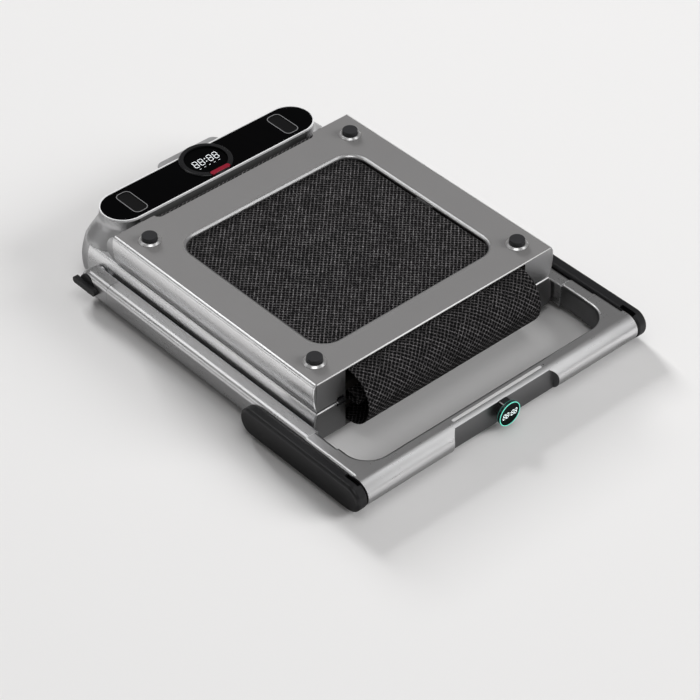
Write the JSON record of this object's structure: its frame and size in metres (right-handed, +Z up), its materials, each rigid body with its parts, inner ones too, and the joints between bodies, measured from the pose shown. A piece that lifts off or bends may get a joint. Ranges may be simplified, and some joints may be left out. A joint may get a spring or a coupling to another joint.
{
  "type": "walking_pad_folding",
  "caption": "Folding walking pad, stored folded: two deck halves hinged under a belt loop, motor head with round display, and a U-shaped handrail with armrests lying flat.",
  "frame": {"origin": "on the floor under the middle of the folded machine", "axes": "+X from the motor head to the fold and the handrail's cross member, +Y to the right-hand side seen from the fold, +Z up"},
  "size_m": [0.854, 0.677, 0.151],
  "materials": {
    "rail_silver": "satin",
    "cap_silver": "satin",
    "plate_gray": "matt",
    "board_wood": "matt",
    "rubber_black": "matt",
    "bar_steel": "satin",
    "cup_chrome": "polished",
    "hinge_black": "satin",
    "belt_black": "matt",
    "head_silver": "satin silver paint",
    "base_black": "matt",
    "panel_black": "gloss",
    "rim_bright": "polished",
    "pad_gray": "matt",
    "ring_dark": "gloss",
    "glass_dark": "gloss",
    "key_red": "gloss",
    "motor_steel": "satin",
    "board_green": "matt",
    "roller_steel": "satin",
    "pulley_black": "matt",
    "drive_black": "matt",
    "inlet_black": "matt",
    "wheel_black": "matt",
    "post_silver": "satin",
    "pod_teal": "gloss",
    "arm_black": "matt",
    "knob_black": "satin"
  },
  "bodies": {
    "front_deck": {"front_rails": "rail_silver", "front_plate": "plate_gray", "front_board": "board_wood", "front_cushions": "rubber_black", "front_cross_bars": "bar_steel", "front_foot_cups": "cup_chrome", "front_feet": "rubber_black", "front_end_caps": "cap_silver", "front_hinge_leaves": "hinge_black", "hinge_pins": "bar_steel", "belt_front": "belt_black", "belt_fold_outer": "belt_black", "belt_fold_inner": "belt_black", "head_housing": "head_silver", "head_base": "base_black", "console_panel": "panel_black", "console_rim": "rim_bright", "display_ring": "ring_dark", "display_glass": "glass_dark", "console_pads": "pad_gray", "rear_handle": "head_silver", "motor_case": "motor_steel", "control_board": "board_green", "front_axle": "bar_steel", "drive_belt": "drive_black", "power_inlet": "inlet_black", "handrail_pivots": "bar_steel"},
    "front_roller_set": {"front_roller": "roller_steel", "front_pulley": "pulley_black", "front_bearings": "roller_steel"},
    "motor_rotor": {"motor_shaft": "roller_steel"},
    "mains_switch": {"power_switch": "inlet_black"},
    "left_wheel": {"wheel_left": "wheel_black"},
    "right_wheel": {"wheel_right": "wheel_black"},
    "rear_deck": {"rear_rails": "rail_silver", "rear_plate": "plate_gray", "rear_board": "board_wood", "rear_cushions": "rubber_black", "rear_cross_bars": "bar_steel", "rear_foot_cups": "cup_chrome", "rear_feet": "rubber_black", "rear_end_caps": "cap_silver", "rear_hinge_leaves": "hinge_black", "belt_rear": "belt_black", "rear_axle": "bar_steel", "rear_adjusters": "roller_steel"},
    "rear_roller_set": {"rear_roller": "roller_steel", "rear_bearings": "roller_steel"},
    "handrail": {"posts": "post_silver", "bail": "post_silver", "bail_trim": "rim_bright", "pod_body": "ring_dark", "pod_ring": "pod_teal", "pod_glass": "glass_dark", "armrest_pins": "bar_steel"},
    "left_armrest": {"armrest_left": "arm_black"},
    "right_armrest": {"armrest_right": "arm_black"},
    "left_knob": {"knob_left": "knob_black"},
    "right_knob": {"knob_right": "knob_black"},
    "key": {"safety_key": "key_red"}
  },
  "joints": [
    {"name": "deck_fold", "type": "hinge", "parent": "front_deck", "child": "rear_deck", "pos_m": [0.248, 0, 0.0755], "axis": [0, 1, 0], "range_deg": [0, 150], "deforming": ["belt_fold_outer", "belt_fold_inner"]},
    {"name": "front_roller_spin", "type": "hinge", "parent": "front_deck", "child": "front_roller_set", "pos_m": [-0.314, 0, 0.044], "axis": [0, 1, 0], "continuous": true},
    {"name": "motor_spin", "type": "hinge", "parent": "front_deck", "child": "motor_rotor", "pos_m": [-0.358, 0, 0.084], "axis": [0, 1, 0], "continuous": true},
    {"name": "rear_roller_spin", "type": "hinge", "parent": "rear_deck", "child": "rear_roller_set", "pos_m": [-0.277, 0, 0.107], "axis": [0, 1, 0], "continuous": true},
    {"name": "mains_switch_rock", "type": "hinge", "parent": "front_deck", "child": "mains_switch", "pos_m": [-0.39796, 0.105, 0.04], "axis": [0, 1, 0], "range_deg": [0, 8]},
    {"name": "left_wheel_spin", "type": "hinge", "parent": "front_deck", "child": "left_wheel", "pos_m": [-0.386, -0.1845, 0.0155], "axis": [0, 1, 0], "continuous": true},
    {"name": "right_wheel_spin", "type": "hinge", "parent": "front_deck", "child": "right_wheel", "pos_m": [-0.386, 0.1845, 0.0155], "axis": [0, 1, 0], "continuous": true},
    {"name": "handrail_raise", "type": "hinge", "parent": "front_deck", "child": "handrail", "pos_m": [-0.318, 0, 0.0325], "axis": [0, -1, 0], "range_deg": [0, 90]},
    {"name": "left_armrest_swing", "type": "hinge", "parent": "handrail", "child": "left_armrest", "pos_m": [0.396, -0.3265, 0.0325], "axis": [0, -1, 0], "range_deg": [0, 90]},
    {"name": "right_armrest_swing", "type": "hinge", "parent": "handrail", "child": "right_armrest", "pos_m": [0.396, 0.3265, 0.0325], "axis": [0, -1, 0], "range_deg": [0, 90]},
    {"name": "left_knob_turn", "type": "hinge", "parent": "handrail", "child": "left_knob", "pos_m": [-0.318, -0.313, 0.0325], "axis": [0, 1, 0], "range_deg": [0, 90]},
    {"name": "right_knob_turn", "type": "hinge", "parent": "handrail", "child": "right_knob", "pos_m": [-0.318, 0.313, 0.0325], "axis": [0, 1, 0], "range_deg": [0, 90]},
    {"name": "safety_key_pull", "type": "slide", "parent": "front_deck", "child": "key", "axis": [0, 0, 1], "range_m": [0, 0.02]}
  ],
  "couplings": [
    {"joint": "motor_spin", "follows": "front_roller_spin", "ratio": 2.375},
    {"joint": "rear_roller_spin", "follows": "front_roller_spin", "ratio": 1}
  ]
}
